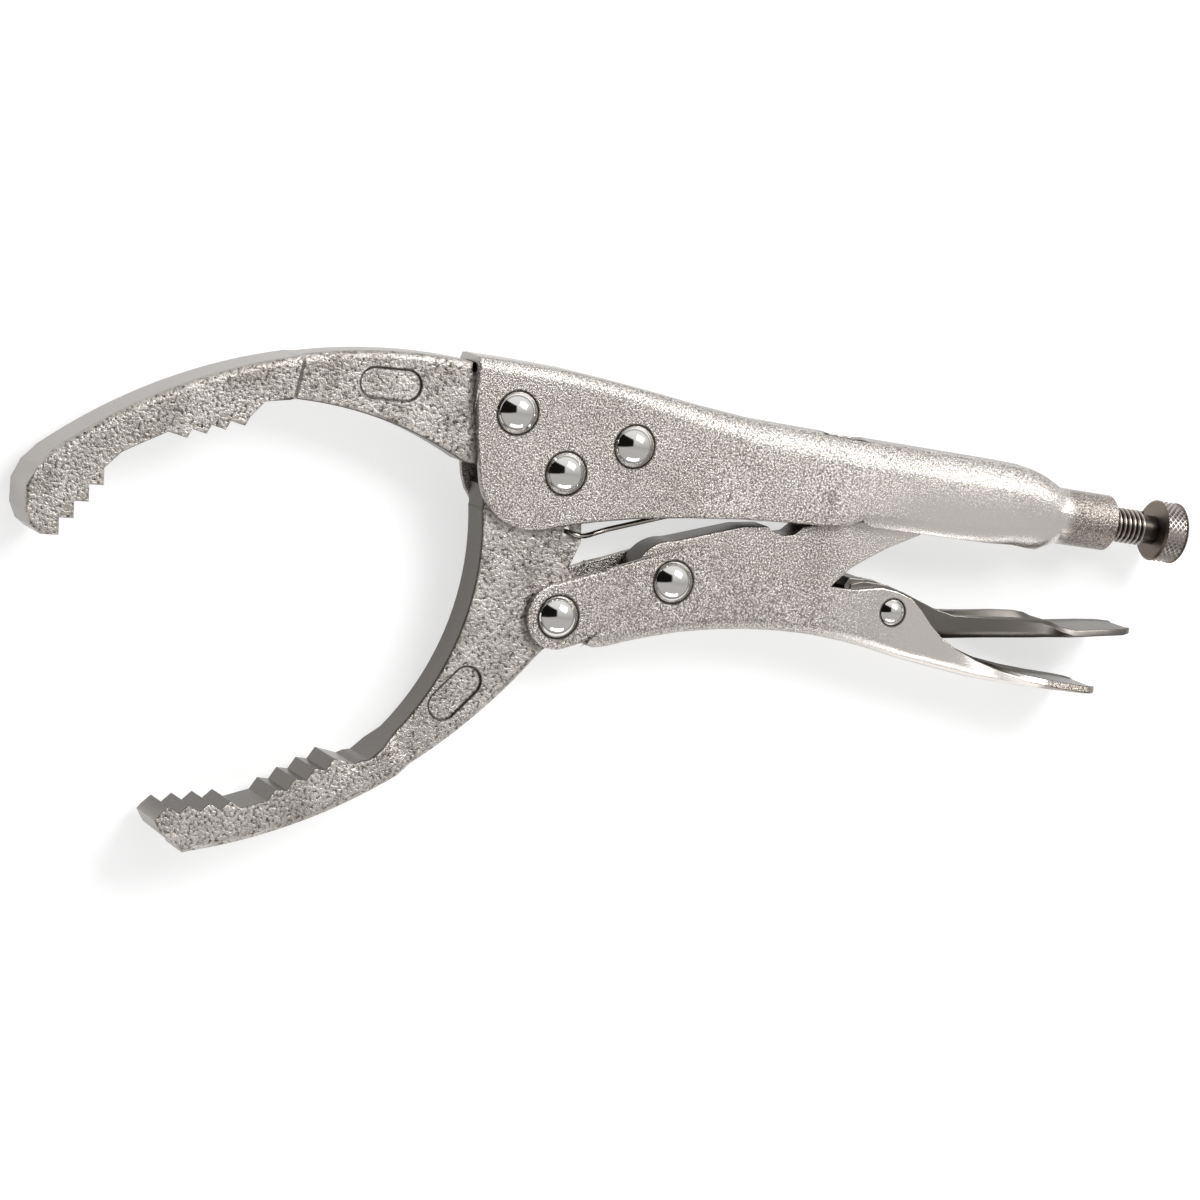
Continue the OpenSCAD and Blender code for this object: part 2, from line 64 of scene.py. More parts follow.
# Floor: a plain matt white board under the rivet heads. It holds the pliers' soft shadow and
# is white where none falls. Its glow shows to the camera and in what the metal mirrors only.
floor_level = -0.0094
board_half = 3.0
board_middle = 0.09
glow_strength = 0.62


def add_node(tree, kind, values=None, links=None, **settings):
    node = tree.nodes.new(kind)
    for name, value in settings.items():
        setattr(node, name, value)
    for key, value in (values or {}).items():
        node.inputs[key].default_value = value
    for key, source in (links or {}).items():
        tree.links.new(source, node.inputs[key])
    return node


def srgb(code):
    parts = [int(code[i:i + 2], 16) / 255 for i in (1, 3, 5)]
    return [c / 12.92 if c <= 0.04045 else ((c + 0.055) / 1.055) ** 2.4 for c in parts] + [1.0]


board = bmesh.new()
bmesh.ops.create_grid(board, x_segments=1, y_segments=1, size=board_half)
bmesh.ops.translate(board, verts=board.verts, vec=(board_middle, 0.0, floor_level))
board_mesh = bpy.data.meshes.new("floor")
board.to_mesh(board_mesh)
board.free()
floor = bpy.data.objects.new("floor", board_mesh)
bpy.context.scene.collection.objects.link(floor)
# white emulsion on board: no gloss, so only the shadow shows on it
matt_board = bpy.data.materials.new("matt_white_board")
matt_board.use_nodes = True
tree = matt_board.node_tree
tree.nodes.clear()
paint = add_node(tree, "ShaderNodeBsdfDiffuse", {"Color": srgb("#B6B6B6")})
glow = add_node(tree, "ShaderNodeEmission", {"Color": srgb("#FFFFFF"), "Strength": glow_strength})
path = add_node(tree, "ShaderNodeLightPath")
both = add_node(tree, "ShaderNodeAddShader", links={0: paint.outputs[0], 1: glow.outputs[0]})
mirrored = add_node(tree, "ShaderNodeMath", operation="MAXIMUM",
                    links={0: path.outputs["Is Glossy Ray"], 1: path.outputs["Is Transmission Ray"]})
seen = add_node(tree, "ShaderNodeMath", operation="MAXIMUM",
                links={0: path.outputs["Is Camera Ray"], 1: mirrored.outputs[0]})
pick = add_node(tree, "ShaderNodeMixShader",
                links={0: seen.outputs[0], 1: paint.outputs[0], 2: both.outputs[0]})
add_node(tree, "ShaderNodeOutputMaterial", links={"Surface": pick.outputs[0]})
floor.data.materials.append(matt_board)

# Studio: a pale room, brightest at the wall past the upper handle and dim low down, with a black
# strip that runs from overhead down to the jaw end. The rivet heads mirror that strip.
strip_start = (-0.12, -0.24)
strip_middle = 0.28
strip_fan = 0.3
strip_edge = (0.25, 0.17)
skirting_height = (0.02, 0.18)
skirting_light = (0.25, 1.0)
world = bpy.data.worlds.new("studio")
bpy.context.scene.world = world
world.use_nodes = True
tree = world.node_tree
tree.nodes.clear()
place = add_node(tree, "ShaderNodeTexCoord")
way = add_node(tree, "ShaderNodeSeparateXYZ", links={0: place.outputs["Generated"]})
across = add_node(tree, "ShaderNodeMapRange", {"From Min": -1.0, "From Max": 1.0},
                  {"Value": way.outputs["Y"]})
room = add_node(tree, "ShaderNodeValToRGB", links={0: across.outputs["Result"]})
room.color_ramp.elements[0].position = 0.0
room.color_ramp.elements[0].color = srgb("#C4C3C2")
room.color_ramp.elements[1].position = 1.0
room.color_ramp.elements[1].color = srgb("#FFFFFF")
for stop, tone in ((0.35, "#C9C8C7"), (0.50, "#BDBCBB"), (0.66, "#DDDCDB"), (0.80, "#F4F4F4")):
    room.color_ramp.elements.new(stop).color = srgb(tone)
end_of_strip = add_node(tree, "ShaderNodeMapRange", {"From Min": strip_start[0], "From Max": strip_start[1]},
                        {"Value": way.outputs["X"]})
off_middle = add_node(tree, "ShaderNodeMath", {1: strip_middle}, {0: way.outputs["Y"]},
                      operation="SUBTRACT")
side_way = add_node(tree, "ShaderNodeMath", links={0: off_middle.outputs[0]}, operation="ABSOLUTE")
spread = add_node(tree, "ShaderNodeMath", {1: strip_fan}, {0: way.outputs["X"]}, operation="MULTIPLY")
fan = add_node(tree, "ShaderNodeMath", links={0: side_way.outputs[0], 1: spread.outputs[0]},
               operation="ADD")
edge_of_strip = add_node(tree, "ShaderNodeMapRange", {"From Min": strip_edge[0], "From Max": strip_edge[1]},
                         {"Value": fan.outputs[0]})
strip = add_node(tree, "ShaderNodeMath", operation="MULTIPLY",
                 links={0: end_of_strip.outputs["Result"], 1: edge_of_strip.outputs["Result"]})
tone = add_node(tree, "ShaderNodeMixRGB", {"Color2": srgb("#161514")},
                {"Fac": strip.outputs[0], "Color1": room.outputs["Color"]})
skirting = add_node(tree, "ShaderNodeMapRange",
                    {"From Min": skirting_height[0], "From Max": skirting_height[1],
                     "To Min": skirting_light[0], "To Max": skirting_light[1]},
                    {"Value": way.outputs["Z"]})
sky = add_node(tree, "ShaderNodeBackground",
               links={"Color": tone.outputs["Color"], "Strength": skirting.outputs["Result"]})
add_node(tree, "ShaderNodeOutputWorld", links={"Surface": sky.outputs[0]})
tool_middle = Vector((0.09, 0.0, 0.0))


def soft_box(name, at, wide, high, power):
    lamp = bpy.data.lights.new(name, "AREA")
    lamp.shape = "RECTANGLE"
    lamp.size = wide
    lamp.size_y = high
    lamp.energy = power
    obj = bpy.data.objects.new(name, lamp)
    bpy.context.scene.collection.objects.link(obj)
    obj.location = at
    obj.rotation_euler = (tool_middle - Vector(at)).to_track_quat("-Z", "Y").to_euler()


soft_box("key_box", (0.44, 0.66, 0.68), wide=0.56, high=0.40, power=8.5)
soft_box("low_box", (0.25, -0.85, 0.40), wide=0.9, high=0.25, power=2.5)

# Fixed jaw: drop-forged steel, nickel plated, its tang held between the upper handle's cheeks
# by two rivets. The forge leaves rounded rims and a coarse skin; the teeth are cut after.
seam_gap = 2e-6
flat_angle = math.radians(0.05)
rim_angle = math.radians(35.0)
side_lean = 0.3
cap_lean = 0.5


def solid_copy(node):
    body = bmesh.new()
    body.from_mesh(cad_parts[node].data)
    bmesh.ops.remove_doubles(body, verts=body.verts, dist=seam_gap)
    bmesh.ops.dissolve_limit(body, angle_limit=flat_angle, verts=body.verts, edges=body.edges)
    return body


# an edge between a flat cap of a plate and its side wall
def cap_edge(edge):
    if len(edge.link_faces) != 2 or edge.calc_face_angle() < rim_angle:
        return False
    levels = sorted(abs(face.normal.z) for face in edge.link_faces)
    return levels[0] < side_lean and levels[1] > cap_lean


def round_rims(body, width, steps, keep):
    bmesh.ops.bevel(body, geom=[e for e in body.edges if keep(e)], offset=width, offset_type="OFFSET",
                    segments=steps, profile=0.5, affect="EDGES", clamp_overlap=False, material=-1)


def finish_piece(body, name, body_name, material, nodes, crease=32.0):
    for face in body.faces:
        face.smooth = True
    for edge in body.edges:
        if len(edge.link_faces) == 2 and edge.calc_face_angle() > math.radians(crease):
            edge.smooth = False
    mesh = bpy.data.meshes.new(name)
    body.to_mesh(mesh)
    body.free()
    piece = bpy.data.objects.new(name, mesh)
    bpy.context.scene.collection.objects.link(piece)
    mesh.materials.append(material)
    if body_name:
        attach(piece, body_name)
    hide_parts(*nodes)
    return piece


def even_shading(piece):
    shading = piece.modifiers.new("even_shading", "WEIGHTED_NORMAL")
    shading.keep_sharp = True


# nickel over forged steel: the plate follows the scale pits of the forging, 0.8 mm across, and
# the grain of the blasting between them, so it looks like fine leather
pit_size = 0.0008
pit_depth = 0.00036
grain_size = 0.00045
grain_depth = 0.00008
patch_size = 0.007
forged_nickel = bpy.data.materials.new("nickel_plated_forged_steel")
forged_nickel.use_nodes = True
tree = forged_nickel.node_tree
tree.nodes.clear()
place = add_node(tree, "ShaderNodeTexCoord")
pits = add_node(tree, "ShaderNodeTexNoise", {"Scale": 1 / pit_size, "Detail": 4.0, "Roughness": 0.6},
                {"Vector": place.outputs["Object"]})
grain = add_node(tree, "ShaderNodeTexNoise", {"Scale": 1 / grain_size, "Detail": 2.0, "Roughness": 0.6},
                 {"Vector": place.outputs["Object"]})
patches = add_node(tree, "ShaderNodeTexNoise", {"Scale": 1 / patch_size, "Detail": 3.0},
                   {"Vector": place.outputs["Object"]})
tint = add_node(tree, "ShaderNodeValToRGB", links={0: patches.outputs["Fac"]})
tint.color_ramp.elements[0].position = 0.3
tint.color_ramp.elements[0].color = srgb("#A09B95")
tint.color_ramp.elements[1].position = 0.7
tint.color_ramp.elements[1].color = srgb("#CDC8C3")
# painted shade in the pits and a painted glint on the skin between them
skin = add_node(tree, "ShaderNodeValToRGB", links={0: pits.outputs["Fac"]})
skin.color_ramp.elements[0].position = 0.34
skin.color_ramp.elements[0].color = srgb("#7C7772")
skin.color_ramp.elements[1].position = 0.51
skin.color_ramp.elements[1].color = srgb("#FFFFFF")
pit_shaded = add_node(tree, "ShaderNodeMixRGB", {"Fac": 1.0},
                  {"Color1": tint.outputs["Color"], "Color2": skin.outputs["Color"]},
                  blend_type="MULTIPLY")
# the sunk plates: centre, turn in degrees, half the run between the round ends, their radius;
# a thin dark line of painted shade runs along the wall of each
plate_places = [(0.0305, 0.055, 3.0), (0.0576, -0.0086, 52.0)]
plate_run = 0.0036
plate_r = 0.0033
wall_shade_band = (0.00045, 0.00015)
lined = pit_shaded.outputs["Color"]
for x, y, turn in plate_places:
    axis = (math.cos(math.radians(turn)), math.sin(math.radians(turn)), 0.0)
    flat = add_node(tree, "ShaderNodeVectorMath", {1: (1.0, 1.0, 0.0)}, {0: place.outputs["Object"]},
                    operation="MULTIPLY")
    off = add_node(tree, "ShaderNodeVectorMath", {1: (x, y, 0.0)}, {0: flat.outputs["Vector"]},
                   operation="SUBTRACT")
    far = add_node(tree, "ShaderNodeVectorMath", {1: axis}, {0: off.outputs["Vector"]},
                   operation="DOT_PRODUCT")
    held = add_node(tree, "ShaderNodeClamp", {"Min": -plate_run, "Max": plate_run},
                    {"Value": far.outputs["Value"]})
    spot = add_node(tree, "ShaderNodeVectorMath", {0: axis}, {"Scale": held.outputs["Result"]},
                    operation="SCALE")
    gap = add_node(tree, "ShaderNodeVectorMath", operation="DISTANCE",
                   links={0: off.outputs["Vector"], 1: spot.outputs["Vector"]})
    past = add_node(tree, "ShaderNodeMath", {1: plate_r}, {0: gap.outputs["Value"]},
                    operation="SUBTRACT")
    near = add_node(tree, "ShaderNodeMath", links={0: past.outputs[0]}, operation="ABSOLUTE")
    # painted shade: a dark line along the wall of the sunk plate
    line = add_node(tree, "ShaderNodeMapRange", {"From Min": wall_shade_band[0], "From Max": wall_shade_band[1]},
                    {"Value": near.outputs[0]})
    darkened = add_node(tree, "ShaderNodeMixRGB", {"Color2": srgb("#4C4844")},
                     {"Fac": line.outputs["Result"], "Color1": lined})
    lined = darkened.outputs["Color"]
# the trimmed outside edge is ground smooth, so it has neither pits nor grain
turned = add_node(tree, "ShaderNodeSeparateXYZ", links={0: place.outputs["Normal"]})
upright = add_node(tree, "ShaderNodeMath", operation="ABSOLUTE", links={0: turned.outputs["Z"]})
cheek = add_node(tree, "ShaderNodeMapRange", {"From Min": 0.15, "From Max": 0.55},
                 {"Value": upright.outputs[0]})
ground = add_node(tree, "ShaderNodeMixRGB", {"Color1": srgb("#A19D99")},
                  {"Fac": cheek.outputs["Result"], "Color2": lined})
# on the faces inside the jaws and on the teeth, turned in towards the grip's centre, the colour is darkened:
# painted shade
inward = add_node(tree, "ShaderNodeVectorMath", operation="NORMALIZE", links={0: place.outputs["Object"]})
facing = add_node(tree, "ShaderNodeVectorMath", operation="DOT_PRODUCT",
                  links={0: inward.outputs["Vector"], 1: place.outputs["Normal"]})
inward_shade = add_node(tree, "ShaderNodeMapRange", {"From Min": -0.35, "From Max": -0.6},
                 {"Value": facing.outputs["Value"]})
shade = add_node(tree, "ShaderNodeMixRGB", {"Color2": srgb("#625E59")},
                 {"Fac": inward_shade.outputs["Result"], "Color1": ground.outputs["Color"]})
dull = add_node(tree, "ShaderNodeMapRange", {"To Min": 0.22, "To Max": 0.38},
                {"Value": pits.outputs["Fac"]})
rough_part = add_node(tree, "ShaderNodeMapRange", {"To Min": 0.12, "To Max": 1.0},
                      {"Value": cheek.outputs["Result"]})
bump_a = add_node(tree, "ShaderNodeBump", {"Distance": pit_depth},
                  {"Height": pits.outputs["Fac"], "Strength": rough_part.outputs["Result"]})
bump_b = add_node(tree, "ShaderNodeBump", {"Distance": grain_depth},
                  {"Height": grain.outputs["Fac"], "Normal": bump_a.outputs[0],
                   "Strength": rough_part.outputs["Result"]})
metal = add_node(tree, "ShaderNodeBsdfPrincipled", {"Metallic": 1.0},
                 {"Base Color": shade.outputs["Color"], "Roughness": dull.outputs["Result"],
                  "Normal": bump_b.outputs[0]})
add_node(tree, "ShaderNodeOutputMaterial", links={"Surface": metal.outputs[0]})

# the bores: place and the reach round it that is left as cut; the last is the spring's lug
bore_places = [(0.0594, 0.0533, 0.0034), (0.0878, 0.050, 0.0034), (0.073, 0.042, 0.0034),
               (0.0775, 0.011, 0.0052), (0.103, 0.022, 0.0034), (0.1577, 0.0222, 0.0025),
               (0.0782, 0.029, 0.0018)]
# half the box in which an edge belongs to a sunk plate
plate_half = (0.0072, 0.0036)
# the teeth lie within this reach of the grip's centre, on the jaws' side of tooth_end
tooth_reach = 0.0462
tooth_end = 0.045
lug_level = 0.0015
# where the fixed jaw's slope runs out on the inside of its arm; its tiny edges there are merged
slope_foot = Vector((0.0108, 0.0488))
foot_reach = 0.002
tiny_edge = 0.0006
# the back of each jaw is one arc: centre and radius, and how far off it an edge may lie
jaw_backs = {"fixed_jaw": (0.0419, -0.0610, 0.1235), "moving_jaw": (-0.0281, 0.0719, 0.1251)}
back_slack = 0.0002
back_round = 0.0017
forged_round = 0.0007
cut_round = 0.0003


def middle(edge):
    return (edge.verts[0].co + edge.verts[1].co) / 2


def off_bores(edge):
    mid = middle(edge)
    return all((mid.x - x) ** 2 + (mid.y - y) ** 2 > r * r for x, y, r in bore_places)


def in_plate(edge):
    for x, y, turn in plate_places:
        along = Vector((middle(edge).x - x, middle(edge).y - y))
        along.rotate(Matrix.Rotation(-math.radians(turn), 2))
        if abs(along.x) < plate_half[0] and abs(along.y) < plate_half[1]:
            return True
    return False


def at_teeth(edge):
    mid = middle(edge)
    return abs(mid.z) < lug_level or math.hypot(mid.x, mid.y) < tooth_reach and mid.x < tooth_end


def outer_rim(edge):
    return cap_edge(edge) and off_bores(edge) and not in_plate(edge) and not at_teeth(edge)


def fine_rim(edge):
    return cap_edge(edge) and off_bores(edge) and (in_plate(edge) or at_teeth(edge))


def forging(node, name, body_name):
    body = solid_copy(node)
    foot = [v for v in body.verts if (v.co.xy - slope_foot).length < foot_reach]
    bmesh.ops.remove_doubles(body, verts=foot, dist=tiny_edge)
    x, y, reach = jaw_backs[node]

    def on_back(edge):
        off_arc = math.hypot(middle(edge).x - x, middle(edge).y - y) - reach
        return outer_rim(edge) and abs(off_arc) < back_slack

    round_rims(body, back_round, 5, on_back)
    round_rims(body, forged_round, 3, lambda e: outer_rim(e) and not on_back(e))
    round_rims(body, cut_round, 2, fine_rim)
    even_shading(finish_piece(body, name, body_name, forged_nickel, [node]))


forging("fixed_jaw", "fixed_jaw_forging", "upper_handle")

# Moving jaw: the second forging, swinging on the jaw rivet, with a boss for the lower handle
# and a thin lug that the spring hooks into.
forging("moving_jaw", "moving_jaw_forging", "moving_jaw")

# Upper handle: one pressed sheet folded to a channel, rolled to a tube at the grip and drawn
# to a round nose round the screw's thread. Blasted before it was plated.
grit_size = 0.0004
grit_depth = 0.00020
cloud_size = 0.02
# along the tool: where the grip begins and is fully drawn, where the nose takes over, and
# where the lower handle's tail opens
grip_start = (0.138, 0.165)
nose_start = (0.1970, 0.1995)
tail_start = (0.152, 0.164)
# across it: the grip is smooth from its middle down, and the tail lies below the last pair
grip_half = (0.0560, 0.0465)
tail_top = (0.030, 0.026)
# the reach of the rivet heads, and the bores that carry the big ones
big_head_r = 0.00465
small_head_r = 0.00295
big_bore = 0.003
ring_fade = (0.00015, 0.0006)


# blasted and nickel plated sheet: a dry, glittering grit on the flats and a soft shine where the
# press tools have rubbed it; edge_tone_and_shade is the colour of its edges and folds, painted shade on the
# link
def blasted_plate(name, edge_tone_and_shade):
    steel = bpy.data.materials.new(name)
    steel.use_nodes = True
    tree = steel.node_tree
    tree.nodes.clear()
    place = add_node(tree, "ShaderNodeTexCoord")
    # blast grit of 0.3 mm, drawn a little coarser so that it shows
    grit = add_node(tree, "ShaderNodeTexNoise", {"Scale": 1 / grit_size, "Detail": 3.0, "Roughness": 0.7},
                    {"Vector": place.outputs["Object"]})
    clouds = add_node(tree, "ShaderNodeTexNoise", {"Scale": 1 / cloud_size, "Detail": 2.0},
                      {"Vector": place.outputs["Object"]})
    tint = add_node(tree, "ShaderNodeValToRGB", links={0: clouds.outputs["Fac"]})
    tint.color_ramp.elements[0].position = 0.3
    tint.color_ramp.elements[0].color = srgb("#CDC8C3")
    tint.color_ramp.elements[1].position = 0.7
    tint.color_ramp.elements[1].color = srgb("#E2DDD9")
    # painted shade in the bottoms of the dints and a painted glint on their rims
    dint_shade_and_glint = add_node(tree, "ShaderNodeValToRGB", links={0: grit.outputs["Fac"]})
    dint_shade_and_glint.color_ramp.elements[0].position = 0.38
    dint_shade_and_glint.color_ramp.elements[0].color = srgb("#8F8A86")
    dint_shade_and_glint.color_ramp.elements[1].position = 0.60
    dint_shade_and_glint.color_ramp.elements[1].color = srgb("#FFFFFF")
    # drawing the grip to a tube has smoothed the grit there, from its middle down
    along = add_node(tree, "ShaderNodeSeparateXYZ", links={0: place.outputs["Object"]})
    on_grip = add_node(tree, "ShaderNodeMapRange", {"From Min": grip_start[0], "From Max": grip_start[1]},
                       {"Value": along.outputs["X"]})
    low_half = add_node(tree, "ShaderNodeMapRange", {"From Min": grip_half[0], "From Max": grip_half[1]},
                        {"Value": along.outputs["Y"]})
    before_nose = add_node(tree, "ShaderNodeMapRange",
                           {"From Min": nose_start[1], "From Max": nose_start[0]},
                           {"Value": along.outputs["X"]})
    grip_part = add_node(tree, "ShaderNodeMath", operation="MULTIPLY",
                         links={0: on_grip.outputs["Result"], 1: low_half.outputs["Result"]})
    smoothed = add_node(tree, "ShaderNodeMath", operation="MULTIPLY",
                        links={0: grip_part.outputs[0], 1: before_nose.outputs["Result"]})
    grit_kept = add_node(tree, "ShaderNodeMapRange", {"To Min": 1.0, "To Max": 0.15},
                         {"Value": smoothed.outputs[0]})
    grained = add_node(tree, "ShaderNodeMixRGB", blend_type="MULTIPLY",
                       links={"Fac": grit_kept.outputs["Result"], "Color1": tint.outputs["Color"],
                              "Color2": dint_shade_and_glint.outputs["Color"]})
    sleek = add_node(tree, "ShaderNodeMixRGB", {"Color2": srgb("#E6E1DC")},
                     {"Fac": smoothed.outputs[0], "Color1": grained.outputs["Color"]})
    # the nose is a little greyer than the rest, as it was turned after it was drawn
    nose_tone = add_node(tree, "ShaderNodeMixRGB", {"Color1": srgb("#D6D1CD"), "Color2": srgb("#FFFFFF")},
                         {"Fac": before_nose.outputs["Result"]})
    greyed = add_node(tree, "ShaderNodeMixRGB", {"Fac": 1.0},
                      {"Color1": sleek.outputs["Color"], "Color2": nose_tone.outputs["Color"]},
                      blend_type="MULTIPLY")
    # edges and folds are burnished by the press tool, so the grit has gone from them; on the link their dark
    # colour is painted shade
    turned = add_node(tree, "ShaderNodeSeparateXYZ", links={0: place.outputs["Normal"]})
    upright = add_node(tree, "ShaderNodeMath", operation="ABSOLUTE", links={0: turned.outputs["Z"]})
    cheek = add_node(tree, "ShaderNodeMapRange", {"From Min": 0.1, "From Max": 0.35},
                     {"Value": upright.outputs[0]})
    burnished_and_shaded_edges = add_node(tree, "ShaderNodeMixRGB", {"Color1": srgb(edge_tone_and_shade)},
                         {"Fac": cheek.outputs["Result"], "Color2": greyed.outputs["Color"]})
    grit_left = add_node(tree, "ShaderNodeMath", operation="MULTIPLY",
                         links={0: cheek.outputs["Result"], 1: grit_kept.outputs["Result"]})
    # the inside of the lower handle's open tail is painted darker: painted shade in the dish
    up_side = add_node(tree, "ShaderNodeMapRange", {"From Min": 0.35, "From Max": 0.8},
                       {"Value": turned.outputs["Y"]})
    low_down = add_node(tree, "ShaderNodeMapRange", {"From Min": tail_top[0], "From Max": tail_top[1]},
                        {"Value": along.outputs["Y"]})
    far_back = add_node(tree, "ShaderNodeMapRange", {"From Min": tail_start[0], "From Max": tail_start[1]},
                        {"Value": along.outputs["X"]})
    in_tail = add_node(tree, "ShaderNodeMath", operation="MULTIPLY",
                       links={0: low_down.outputs["Result"], 1: far_back.outputs["Result"]})
    tail_shade_mask = add_node(tree, "ShaderNodeMath", operation="MULTIPLY",
                      links={0: in_tail.outputs[0], 1: up_side.outputs["Result"]})
    tail_shaded = add_node(tree, "ShaderNodeMixRGB", {"Color2": srgb("#6E6A66")},
                      {"Fac": tail_shade_mask.outputs[0], "Color1": burnished_and_shaded_edges.outputs["Color"]})
    # painted shade: a thin dark ring round each rivet head, where it meets the plate
    rings = None
    for x, y, reach in bore_places[:6]:
        head_r = big_head_r if reach > big_bore else small_head_r
        flat = add_node(tree, "ShaderNodeVectorMath", {1: (1.0, 1.0, 0.0)}, {0: place.outputs["Object"]},
                        operation="MULTIPLY")
        off = add_node(tree, "ShaderNodeVectorMath", {1: (x, y, 0.0)}, {0: flat.outputs["Vector"]},
                       operation="DISTANCE")
        ring = add_node(tree, "ShaderNodeMapRange",
                        {"From Min": head_r + ring_fade[0], "From Max": head_r + ring_fade[1]},
                        {"Value": off.outputs["Value"]})
        if rings is None:
            rings = ring.outputs["Result"]
        else:
            joined = add_node(tree, "ShaderNodeMath", operation="MULTIPLY",
                              links={0: rings, 1: ring.outputs["Result"]})
            rings = joined.outputs[0]
    ring_shaded = add_node(tree, "ShaderNodeMixRGB", {"Color1": srgb("#2A2623")},
                      {"Fac": rings, "Color2": tail_shaded.outputs["Color"]})
    dull = add_node(tree, "ShaderNodeMapRange", {"To Min": 0.20, "To Max": 0.32},
                    {"Value": grit.outputs["Fac"]})
    rough_part = add_node(tree, "ShaderNodeMapRange", {"To Min": 0.15, "To Max": 1.0},
                          {"Value": grit_left.outputs[0]})
    bump = add_node(tree, "ShaderNodeBump", {"Distance": grit_depth},
                    {"Height": grit.outputs["Fac"], "Strength": rough_part.outputs["Result"]})
    metal = add_node(tree, "ShaderNodeBsdfPrincipled", {"Metallic": 1.0},
                     {"Base Color": ring_shaded.outputs["Color"], "Roughness": dull.outputs["Result"],
                      "Normal": bump.outputs[0]})
    add_node(tree, "ShaderNodeOutputMaterial", links={"Surface": metal.outputs[0]})
    return steel


blasted_nickel = blasted_plate("nickel_plated_blasted_steel", "#A6A29E")
sheet_angle = math.radians(55.0)
# the outer face of a cheek lies past this level, and the flat cheeks end here along the tool
cheek_level = 0.0057
cheek_end = 0.146
upper_round = 0.0008
sheet_round = 0.0003


def sheet_rim(edge):
    return len(edge.link_faces) == 2 and edge.calc_face_angle() > sheet_angle and off_bores(edge)


def cheek_rim(edge):
    return sheet_rim(edge) and abs(middle(edge).z) > cheek_level and middle(edge).x < cheek_end


upper = solid_copy("upper_handle")
round_rims(upper, upper_round, 4, cheek_rim)
round_rims(upper, sheet_round, 2, sheet_rim)
even_shading(finish_piece(upper, "upper_handle_pressing", "upper_handle",
                          blasted_nickel, ["upper_handle"]))

# Lower handle: a second pressed channel, its ears riveted to the moving jaw and its tail
# spread to an open dish for the palm.
lower_round = 0.0006
lower = solid_copy("lower_handle")
round_rims(lower, lower_round, 3, cheek_rim)
round_rims(lower, sheet_round, 2, sheet_rim)
even_shading(finish_piece(lower, "lower_handle_pressing", "lower_handle",
                          blasted_nickel, ["lower_handle"]))

# Toggle link: thick plate blanked from strip, riveted inside the lower handle, its round nose
# bearing on the tip of the screw. Its cut edges are painted darker than its faces: painted shade
# inside the handle.
link_round = 0.0004
blanked_nickel = blasted_plate("nickel_plated_blanked_plate", "#4B4642")
link = solid_copy("toggle_link")
round_rims(link, link_round, 2, lambda e: cap_edge(e) and off_bores(e))
even_shading(finish_piece(link, "toggle_link_plate", "toggle_link", blanked_nickel,
                          ["toggle_link"]))

# Release lever: thin pressed channel inside the lower handle, flattened to a paddle.
# It is greyer than the handles, as its plate is thin and rubbed.
rub_size = 0.0014
rub_depth = 0.0001
lever_round = 0.00025


# thin nickel, rubbed by hands: an even grey sheen with faint cloudy scuffs
def thin_plate(name, tone, front_tone):
    plate = bpy.data.materials.new(name)
    plate.use_nodes = True
    tree = plate.node_tree
    tree.nodes.clear()
    place = add_node(tree, "ShaderNodeTexCoord")
    rub = add_node(tree, "ShaderNodeTexNoise", {"Scale": 1 / rub_size, "Detail": 4.0},
                   {"Vector": place.outputs["Object"]})
    # the side turned to the jaws is darker
    turned = add_node(tree, "ShaderNodeSeparateXYZ", links={0: place.outputs["Normal"]})
    front = add_node(tree, "ShaderNodeMapRange", {"From Min": -0.3, "From Max": -0.7},
                     {"Value": turned.outputs["X"]})
    darkened = add_node(tree, "ShaderNodeMixRGB", {"Color1": srgb(tone), "Color2": srgb(front_tone)},
                     {"Fac": front.outputs["Result"]})
    dull = add_node(tree, "ShaderNodeMapRange", {"To Min": 0.3, "To Max": 0.45},
                    {"Value": rub.outputs["Fac"]})
    bump = add_node(tree, "ShaderNodeBump", {"Strength": 0.25, "Distance": rub_depth},
                    {"Height": rub.outputs["Fac"]})
    metal = add_node(tree, "ShaderNodeBsdfPrincipled", {"Metallic": 1.0},
                     {"Base Color": darkened.outputs["Color"], "Roughness": dull.outputs["Result"],
                      "Normal": bump.outputs[0]})
    add_node(tree, "ShaderNodeOutputMaterial", links={"Surface": metal.outputs[0]})
    return plate


lever_plate = thin_plate("thin_nickel_on_sheet_steel", "#75716D", "#5A5652")
lever = solid_copy("release_lever")
round_rims(lever, lever_round, 2, sheet_rim)
even_shading(finish_piece(lever, "release_lever_pressing", "release_lever",
                          lever_plate, ["release_lever"]))

# Rivets: steel pins headed to a dome on both sides of the plates. Two hold the fixed jaw, and
# the others are the pivots of the moving jaw, the lower handle, the link and the lever.
polished_nickel = bpy.data.materials.new("polished_nickel_plate")
polished_nickel.use_nodes = True
tree = polished_nickel.node_tree
tree.nodes.clear()
# polished after plating: a clear mirror with a slight haze
metal = add_node(tree, "ShaderNodeBsdfPrincipled",
                 {"Metallic": 1.0, "Base Color": srgb("#DEDCD9"), "Roughness": 0.09})
add_node(tree, "ShaderNodeOutputMaterial", links={"Surface": metal.outputs[0]})
for node, body_name in (("tang_front_rivet", "upper_handle"), ("tang_rear_rivet", "upper_handle"),
                        ("jaw_pivot_rivet", "jaw_pivot_rivet"), ("lower_pivot_rivet", "lower_handle"),
                        ("link_pivot_rivet", "lower_handle"), ("lever_rivet", "lower_handle")):
    dome = solid_copy(node)
    finish_piece(dome, node + "_dome", body_name, polished_nickel, [node])

